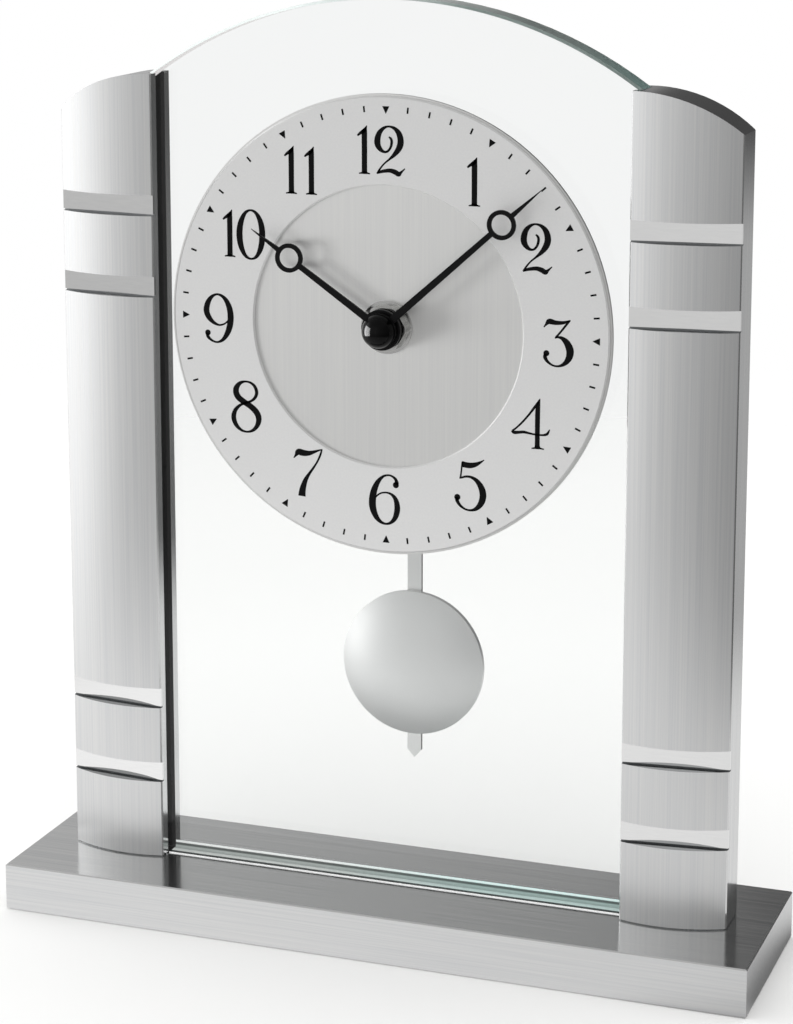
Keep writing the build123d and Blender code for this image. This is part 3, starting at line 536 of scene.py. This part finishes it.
# Printing ink: black and dense, nearly dull, with uneven drying over 2 mm.
ink, tree, shader = finish("black_printing_ink", Base_Color=linear("#060607"), Specular_IOR_Level=0.1)
place = add(tree, "TexCoord")
drying = add(tree, "TexNoise", {"Vector": place.outputs["Object"], "Scale": 1 / (2 * mm), "Detail": 2.0})
rough = rescale(tree, drying.outputs["Fac"], 0, 1, 0.4, 0.6)
feed(tree, shader, {"Roughness": rough.outputs[0]})
dial_print.data.materials.append(ink)
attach(dial_print, "frame")


# Centre fittings: a thin washer and a hex nut on the movement's threaded brass bushing, nickel plated,
# with a rubber cushion washer behind the glass.

# Nickel plate: a pale grey mirror, softened by fine tool rings 0.4 mm apart.
nickel, tree, shader = finish("nickel_plate", Metallic=1.0)
place = add(tree, "TexCoord")
turned = add(tree, "Mapping", {"Vector": place.outputs["Object"], "Location": (0, 0, -axis_height * mm)})
rings = add(tree, "TexWave", {"Vector": turned.outputs[0], "Scale": math.pi / (10 * 0.4 * mm),
                              "Distortion": 0.4}, wave_type="RINGS", rings_direction="Y")
rough = rescale(tree, rings.outputs["Fac"], 0, 1, 0.14, 0.26)
tone = blend(tree, rings.outputs["Fac"], (0, "#BDBDBB"), (1, "#CCCCCA"))
feed(tree, shader, {"Base Color": tone.outputs[0], "Roughness": rough.outputs[0]})
dress(nickel, "dial_washer", "bushing_nut", "battery_contact_plus", "battery_contact_minus", "bob_clip",
      "quartz_can")

# Turned brass: yellow metal with fine tool rings 0.4 mm apart.
brass, tree, shader = finish("turned_brass", Metallic=1.0)
place = add(tree, "TexCoord")
turned = add(tree, "Mapping", {"Vector": place.outputs["Object"], "Location": (0, 0, -axis_height * mm)})
rings = add(tree, "TexWave", {"Vector": turned.outputs[0], "Scale": math.pi / (10 * 0.4 * mm),
                              "Distortion": 0.3}, wave_type="BANDS", bands_direction="Y")
tone = blend(tree, rings.outputs["Fac"], (0, "#B08D45"), (1, "#D0AF65"))
rough = rescale(tree, rings.outputs["Fac"], 0, 1, 0.18, 0.32)
feed(tree, shader, {"Base Color": tone.outputs[0], "Roughness": rough.outputs[0]})
dress(brass, "center_bushing", "minute_arbor", "pivot_pin")

# Moulded rubber: near black, matt, with a dusty bloom.
rubber, tree, shader = finish("black_rubber", Specular_IOR_Level=0.35)
place = add(tree, "TexCoord")
bloom = add(tree, "TexNoise", {"Vector": place.outputs["Object"], "Scale": 1 / (1.5 * mm), "Detail": 4.0})
tone = blend(tree, bloom.outputs["Fac"], (0, "#141414"), (1, "#2A2A2B"))
rough = rescale(tree, bloom.outputs["Fac"], 0, 1, 0.6, 0.85)
feed(tree, shader, {"Base Color": tone.outputs[0], "Roughness": rough.outputs[0]})
dress(rubber, "cushion_washer")


# Hands: stamped aluminium with a ring near the tip, stoved black and pressed on the hour tube and the
# minute arbor, with a domed plastic cap over the end.

# Stove enamel: near black, with a soft gloss and a faint peel about 1 mm across.
black, tree, shader = finish("black_stove_enamel", Specular_IOR_Level=0.15)
place = add(tree, "TexCoord")
peel = add(tree, "TexNoise", {"Vector": place.outputs["Object"], "Scale": 1 / (1.2 * mm), "Detail": 2.0})
tone = blend(tree, peel.outputs["Fac"], (0, "#040404"), (1, "#0B0B0C"))
rough = rescale(tree, peel.outputs["Fac"], 0, 1, 0.3, 0.42)
skin = add(tree, "Bump", {"Height": peel.outputs["Fac"], "Strength": 0.03, "Distance": 0.05 * mm})
feed(tree, shader, {"Base Color": tone.outputs[0], "Roughness": rough.outputs[0],
                    "Normal": skin.outputs[0]})
dress(black, "hour_hand", "minute_hand")

# The cap is moulded plastic, glossy enough to show the lamp at the left as a small bright spot.
gloss, tree, shader = finish("black_gloss_plastic", Specular_IOR_Level=0.12)
place = add(tree, "TexCoord")
wipe = add(tree, "TexNoise", {"Vector": place.outputs["Object"], "Scale": 1 / (3 * mm), "Detail": 2.0})
tone = blend(tree, wipe.outputs["Fac"], (0, "#010101"), (1, "#030303"))
rough = rescale(tree, wipe.outputs["Fac"], 0, 1, 0.08, 0.14)
feed(tree, shader, {"Base Color": tone.outputs[0], "Roughness": rough.outputs[0]})
dress(gloss, "hand_cap")


# Movement: a moulded case and cover with a battery bay, and the setting knob at the back.
# It is black ABS with a spark-eroded texture, about 0.3 mm, that hides finger marks.

abs_black, tree, shader = finish("black_abs")
place = add(tree, "TexCoord")
texture = add(tree, "TexNoise", {"Vector": place.outputs["Object"], "Scale": 1 / (0.6 * mm),
                                 "Detail": 3.0})
rough = rescale(tree, texture.outputs["Fac"], 0, 1, 0.42, 0.6)
tone = blend(tree, texture.outputs["Fac"], (0, "#121315"), (1, "#24262A"))
pits = add(tree, "Bump", {"Height": texture.outputs["Fac"], "Strength": 0.35, "Distance": 0.08 * mm})
feed(tree, shader, {"Base Color": tone.outputs[0], "Roughness": rough.outputs[0],
                    "Normal": pits.outputs[0]})
dress(abs_black, "movement_case", "movement_cover", "setting_knob")

# Acetal: off white and slightly waxy, for the wheels and the pendulum hanger.
acetal, tree, shader = finish("white_acetal", Subsurface_Weight=0.1,
                              Subsurface_Radius=(0.001, 0.001, 0.001), Subsurface_Scale=1.0)
place = add(tree, "TexCoord")
flow = add(tree, "TexNoise", {"Vector": place.outputs["Object"], "Scale": 1 / (4 * mm), "Detail": 3.0})
tone = blend(tree, flow.outputs["Fac"], (0, "#DDDAD0"), (1, "#EFEDE6"))
rough = rescale(tree, flow.outputs["Fac"], 0, 1, 0.35, 0.48)
feed(tree, shader, {"Base Color": tone.outputs[0], "Roughness": rough.outputs[0]})
dress(acetal, "motion_wheel", "hour_wheel", "pendulum_hanger")

# Motor and drive coils: enamelled copper wire, 0.25 mm, wound in close turns and drawn as fine bands.
copper, tree, shader = finish("enamelled_copper_wire", Metallic=1.0, Roughness=0.3, Coat_Weight=0.5)
place = add(tree, "TexCoord")
turns = add(tree, "TexWave", {"Vector": place.outputs["Object"], "Scale": math.pi / (10 * 0.25 * mm),
                              "Distortion": 0.6}, wave_type="BANDS", bands_direction="DIAGONAL")
tone = blend(tree, turns.outputs["Fac"], (0, "#6E3014"), (1, "#C8703A"))
wire = add(tree, "Bump", {"Height": turns.outputs["Fac"], "Strength": 0.5, "Distance": 0.1 * mm})
feed(tree, shader, {"Base Color": tone.outputs[0], "Normal": wire.outputs[0]})
dress(copper, "motor_coil", "drive_coil")

# Magnets and motor iron: sintered grey metal, with a grain of 0.3 mm.
magnet, tree, shader = finish("sintered_magnet", Metallic=0.8)
place = add(tree, "TexCoord")
grit = add(tree, "TexNoise", {"Vector": place.outputs["Object"], "Scale": 1 / (0.5 * mm), "Detail": 3.0})
tone = blend(tree, grit.outputs["Fac"], (0, "#4A4B4E"), (1, "#75777A"))
rough = rescale(tree, grit.outputs["Fac"], 0, 1, 0.4, 0.6)
feed(tree, shader, {"Base Color": tone.outputs[0], "Roughness": rough.outputs[0]})
dress(magnet, "motor_rotor", "pendulum_magnet", "motor_stator")

# Circuit board: glass fibre laminate under green solder resist, with its weave showing every 0.8 mm.
laminate, tree, shader = finish("green_circuit_board", Roughness=0.35)
place = add(tree, "TexCoord")
weave = add(tree, "TexChecker", {"Vector": place.outputs["Object"], "Scale": 1 / (0.8 * mm),
                                 "Color1": linear("#1B5A34"), "Color2": linear("#20643B")})
feed(tree, shader, {"Base Color": weave.outputs["Color"]})
dress(laminate, "circuit_board")

# Battery: a steel AA cell in a plain printed sleeve, silver grey with a dark band at its plus end.
cell, tree, shader = finish("battery_sleeve", Coat_Weight=0.4, Coat_Roughness=0.1)
sleeve_end, band_end = 176.9, 164.0
place = add(tree, "TexCoord")
spot = add(tree, "SeparateXYZ", {0: place.outputs["Object"]})
bare = calc(tree, "GREATER_THAN", spot.outputs["Z"], sleeve_end * mm)
banded = calc(tree, "GREATER_THAN", spot.outputs["Z"], band_end * mm)
print_grain = add(tree, "TexNoise", {"Vector": place.outputs["Object"], "Scale": 1 / (1 * mm),
                                     "Detail": 2.0})
sleeve = blend(tree, print_grain.outputs["Fac"], (0, "#9FA4A8"), (1, "#B4B8BB"))
dark = mix_colours(tree, banded.outputs[0], sleeve.outputs[0], linear("#24282C"))
colour = mix_colours(tree, bare.outputs[0], dark.outputs[2], linear("#C4C2BC"))
rough = rescale(tree, print_grain.outputs["Fac"], 0, 1, 0.25, 0.4)
feed(tree, shader, {"Base Color": colour.outputs[2], "Metallic": bare.outputs[0],
                    "Roughness": rough.outputs[0]})
dress(cell, "battery")


# Pendulum: a flat aluminium rod with a pointed end, and a pressed bob clipped to it.
# Both have a fine satin finish, upright on the rod and blasted on the bob.

# Satin aluminium: pale, with fine upright streaks that spread the light sideways.
rod_metal, tree, shader = finish("satin_aluminium_rod", Metallic=1.0, Anisotropic=0.6)
place = add(tree, "TexCoord")
grain = add(tree, "Mapping", {"Vector": place.outputs["Object"],
                              "Scale": (1 / (0.4 * mm), 1 / (0.4 * mm), 1 / (30 * mm))})
streak = add(tree, "TexNoise", {"Vector": grain.outputs[0], "Scale": 1.0, "Detail": 3.0})
rough = rescale(tree, streak.outputs["Fac"], 0.3, 0.7, 0.3, 0.42)
tone = blend(tree, streak.outputs["Fac"], (0, "#EDEDEC"), (1, "#F6F6F5"))
across = add(tree, "CombineXYZ", {"X": 1.0})
feed(tree, shader, {"Base Color": tone.outputs[0], "Roughness": rough.outputs[0],
                    "Tangent": across.outputs[0]})
dress(rod_metal, "pendulum_rod")

# Blasted aluminium: nearly white, with a broad soft sheen and a grain of about 0.2 mm.
bob_metal, tree, shader = finish("blasted_aluminium_bob", Metallic=1.0)
place = add(tree, "TexCoord")
blast = add(tree, "TexNoise", {"Vector": place.outputs["Object"], "Scale": 1 / (0.4 * mm), "Detail": 3.0})
rough = rescale(tree, blast.outputs["Fac"], 0.3, 0.7, 0.43, 0.47)
tone = blend(tree, blast.outputs["Fac"], (0, "#FAFAF9"), (1, "#FFFFFF"))
grains = add(tree, "Bump", {"Height": blast.outputs["Fac"], "Strength": 0.004, "Distance": 0.03 * mm})
feed(tree, shader, {"Base Color": tone.outputs[0], "Roughness": rough.outputs[0],
                    "Normal": grains.outputs[0]})
dress(bob_metal, "pendulum_bob")


# Stage: a white paper floor that fades into the white surround, soft light all round that is strongest
# from the left, and the camera at the photograph's place.

floor_radius, fade_from = 0.75, 0.30
shade_from, shade_to = math.radians(66), math.radians(82)
rim_from, rim_to = 0.0985, 0.107
ring_count, spoke_count = 24, 96
spread = np.linspace(0, 1, ring_count) ** 1.5 * floor_radius
angle = np.linspace(0, 2 * math.pi, spoke_count, endpoint=False)
level_ground = np.zeros((ring_count, spoke_count))
points = np.stack([np.outer(spread, np.cos(angle)), np.outer(spread, np.sin(angle)), level_ground], -1)
i, j = np.meshgrid(np.arange(1, ring_count - 1), np.arange(spoke_count), indexing="ij")
this_ring, next_ring, beside = i * spoke_count, (i + 1) * spoke_count, (j + 1) % spoke_count
quads = np.stack([this_ring + j, next_ring + j, next_ring + beside, this_ring + beside], -1)
points = np.vstack([points[0, :1], points[1:].reshape(-1, 3)])
quads = quads.reshape(-1, 4) - spoke_count + 1
spokes = np.arange(spoke_count)
middle = np.stack([np.zeros(spoke_count, int), 1 + spokes, 1 + (spokes + 1) % spoke_count], -1)
mesh = bpy.data.meshes.new("paper_floor")
mesh.from_pydata(points, [], quads.tolist() + middle.tolist())
floor = bpy.data.objects.new("paper_floor", mesh)
bpy.context.scene.collection.objects.link(floor)
paper = bpy.data.materials.new("white_paper")
paper.use_nodes = True
tree = paper.node_tree
tree.nodes.clear()
place = add(tree, "TexCoord")
far = add(tree, "VectorMath", {0: place.outputs["Object"]}, operation="LENGTH")
fade = rescale(tree, far.outputs["Value"], fade_from, floor_radius, interpolation_type="SMOOTHSTEP")
matt = add(tree, "BsdfDiffuse", {"Color": linear("#F4F4F3")})
clear = add(tree, "BsdfTransparent")
# in polished metal the paper shows as a glow: fainter to the right, dim beside the base's right end, and
# gone from near_end on
near_start, near_end = 0.21, 0.35
path = add(tree, "LightPath")
mirrored = calc(tree, "GREATER_THAN", path.outputs["Glossy Depth"], 0.5)
spot = add(tree, "SeparateXYZ", {0: place.outputs["Object"]})
toward_front = calc(tree, "MULTIPLY", spot.outputs["Y"], -1.0)
turn = calc(tree, "ARCTAN2", spot.outputs["X"], toward_front.outputs[0])
slope = rescale(tree, spot.outputs["X"], -0.1, 0.1, 0.98, 0.80)
shade = rescale(tree, turn.outputs[0], shade_from, shade_to, 1.0, 0.25)
close = rescale(tree, far.outputs["Value"], rim_from, rim_to, 1.0, 0.0)
shade = add(tree, "Mix", {"Factor": close.outputs[0], 2: 1.0, 3: shade.outputs[0]})
level = calc(tree, "MULTIPLY", slope.outputs[0], shade.outputs[0])
mirrored_floor = add(tree, "Emission", {"Strength": level.outputs[0]})
near = rescale(tree, far.outputs["Value"], near_start, near_end, interpolation_type="SMOOTHSTEP")
fade = add(tree, "Mix", {"Factor": mirrored.outputs[0], 2: fade.outputs[0], 3: near.outputs[0]})
matt = add(tree, "MixShader", {0: mirrored.outputs[0], 1: matt.outputs[0], 2: mirrored_floor.outputs[0]})
sheet = add(tree, "MixShader", {0: fade.outputs[0], 1: matt.outputs[0], 2: clear.outputs[0]})
add(tree, "OutputMaterial", {"Surface": sheet.outputs[0]})
mesh.materials.append(paper)

# the studio: brightness by compass direction, in degrees clockwise from straight behind seen from above,
# and a bright ceiling
studio = [(0, 0.06), (30, 0.08), (90, 0.22), (137, 0.40), (165, 0.54), (175, 0.59), (178, 0.74),
          (185, 0.74), (189, 0.65), (211, 0.66), (214, 0.58), (223, 0.58), (226, 0.66), (238, 0.80),
          (252, 1.75), (290, 1.75), (305, 0.9), (328, 0.50), (333, 0.45), (340, 0.35), (345.5, 0.26),
          (348, 0.08), (360, 0.06)]
world = bpy.data.worlds.new("studio")
bpy.context.scene.world = world
world.use_nodes = True
tree = world.node_tree
tree.nodes.clear()
place = add(tree, "TexCoord")
look = add(tree, "SeparateXYZ", {0: place.outputs["Generated"]})
compass = calc(tree, "ARCTAN2", look.outputs["X"], look.outputs["Y"])
share = rescale(tree, compass.outputs[0], -math.pi, math.pi, -0.5, 0.5)
share = calc(tree, "WRAP", share.outputs[0], 1.0, 0.0)
walls = add(tree, "ValToRGB", {"Fac": share.outputs[0]})
stops = walls.color_ramp
brightest = max(level for _, level in studio)
while len(stops.elements) < len(studio):
    stops.elements.new(0.5)
for stop, (degrees, level) in zip(stops.elements, studio):
    stop.position = degrees / 360
    stop.color = (level / brightest,) * 3 + (1,)
ceiling = rescale(tree, look.outputs["Z"], 0.45, 0.75, interpolation_type="SMOOTHSTEP")
walls = calc(tree, "MULTIPLY", walls.outputs[0], brightest)
rise = rescale(tree, look.outputs["Z"], -0.4, 0.0, 0.65, 1.1)
walls = calc(tree, "MULTIPLY", walls.outputs[0], rise.outputs[0])
# the white sweep behind the table shows in the outer sides, below eye level and a little right of
# straight back
sweep_turn, sweep_level = math.radians(11), 0.5
aside = calc(tree, "SUBTRACT", compass.outputs[0], sweep_turn)
aside = calc(tree, "ABSOLUTE", aside.outputs[0])
behind = rescale(tree, aside.outputs[0], math.radians(12), math.radians(9))
under = rescale(tree, look.outputs["Z"], -0.11, -0.15)
white_sweep = calc(tree, "MULTIPLY", behind.outputs[0], under.outputs[0])
walls = add(tree, "Mix", {"Factor": white_sweep.outputs[0], 2: walls.outputs[0], 3: sweep_level})
path = add(tree, "LightPath")
polished = calc(tree, "GREATER_THAN", path.outputs["Glossy Depth"], 0.5)
overhead = add(tree, "Mix", {"Factor": polished.outputs[0], 2: 1.5, 3: 0.5})
light = add(tree, "Mix", {"Factor": ceiling.outputs[0], 2: walls.outputs[0], 3: overhead.outputs[0]})
bounced = calc(tree, "ADD", path.outputs["Glossy Depth"], path.outputs["Diffuse Depth"])
direct = calc(tree, "LESS_THAN", bounced.outputs[0], 0.5)
through = calc(tree, "MULTIPLY", path.outputs["Is Transmission Ray"], direct.outputs[0])
seen = calc(tree, "MAXIMUM", path.outputs["Is Camera Ray"], through.outputs[0])
strength = add(tree, "Mix", {"Factor": seen.outputs[0], 2: light.outputs[0], 3: 1.0})
sky = add(tree, "Background", {"Color": (1, 1, 1, 1), "Strength": strength.outputs[0]})
add(tree, "OutputWorld", {"Surface": sky.outputs[0]})

# two lamps at the left: a tall one that rakes over the whole clock, and a wide one that lights the cap
# alone, for its bright spot; their light also comes up past the table's edge and through the glass; each
# has a name, degrees left of the front, height, width and length in metres, and power in watts
cap_only = bpy.data.collections.new("cap_only")
cap_only.objects.link(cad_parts["hand_cap"])
shadowless = bpy.data.collections.new("shadowless")
shadowless.objects.link(floor)
shadowless.objects.link(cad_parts["glass_pane"])
for passed in shadowless.collection_objects:
    passed.light_linking.link_state = "EXCLUDE"
lamps = (("tall_lamp", 60, 0.035, 0.30, 0.55, 1.45), ("wide_lamp", 66, 0.152, 1.00, 1.00, 90.0))
lamp_reach = 1.2
for name, turn, height, wide, tall, energy in lamps:
    lamp_light = bpy.data.lights.new(name, "AREA")
    lamp_light.shape = "RECTANGLE"
    lamp_light.size, lamp_light.size_y = wide, tall
    lamp_light.energy = energy
    lamp = bpy.data.objects.new(name, lamp_light)
    toward = Vector((-math.sin(math.radians(turn)), -math.cos(math.radians(turn)), 0))
    aim = (-toward).to_track_quat("-Z", "Y").to_matrix().to_4x4()
    lamp.matrix_world = Matrix.Translation(toward * lamp_reach + Vector((0, 0, height))) @ aim
    lamp.visible_camera = False
    lamp.visible_transmission = False
    lamp.light_linking.blocker_collection = shadowless
    bpy.context.scene.collection.objects.link(lamp)
lamp.light_linking.receiver_collection = cap_only

# camera: turned right of the front and above, as fitted to the edges of the photograph, 793 by 1024 pixels
camera_spot = Vector((220.72, -606.95, 271.70)) * mm
camera_turn, camera_drop = math.radians(19.928), math.radians(10.796)
focal_pixels, frame_height, lens_shift = 2747.2, 1024, -0.17
level_reach = math.cos(camera_drop)
ahead = Vector((-math.sin(camera_turn) * level_reach, math.cos(camera_turn) * level_reach,
                -math.sin(camera_drop)))
lens = bpy.data.cameras.new("camera")
lens.sensor_width = 36.0
lens.lens = focal_pixels / frame_height * lens.sensor_width
lens.shift_y = lens_shift
lens.clip_start, lens.clip_end = 0.01, 50
camera = bpy.data.objects.new("camera", lens)
aim = ahead.to_track_quat("-Z", "Y").to_matrix().to_4x4()
camera.matrix_world = Matrix.Translation(camera_spot) @ aim
bpy.context.scene.collection.objects.link(camera)
bpy.context.scene.camera = camera
bpy.context.scene.view_settings.view_transform = "Standard"
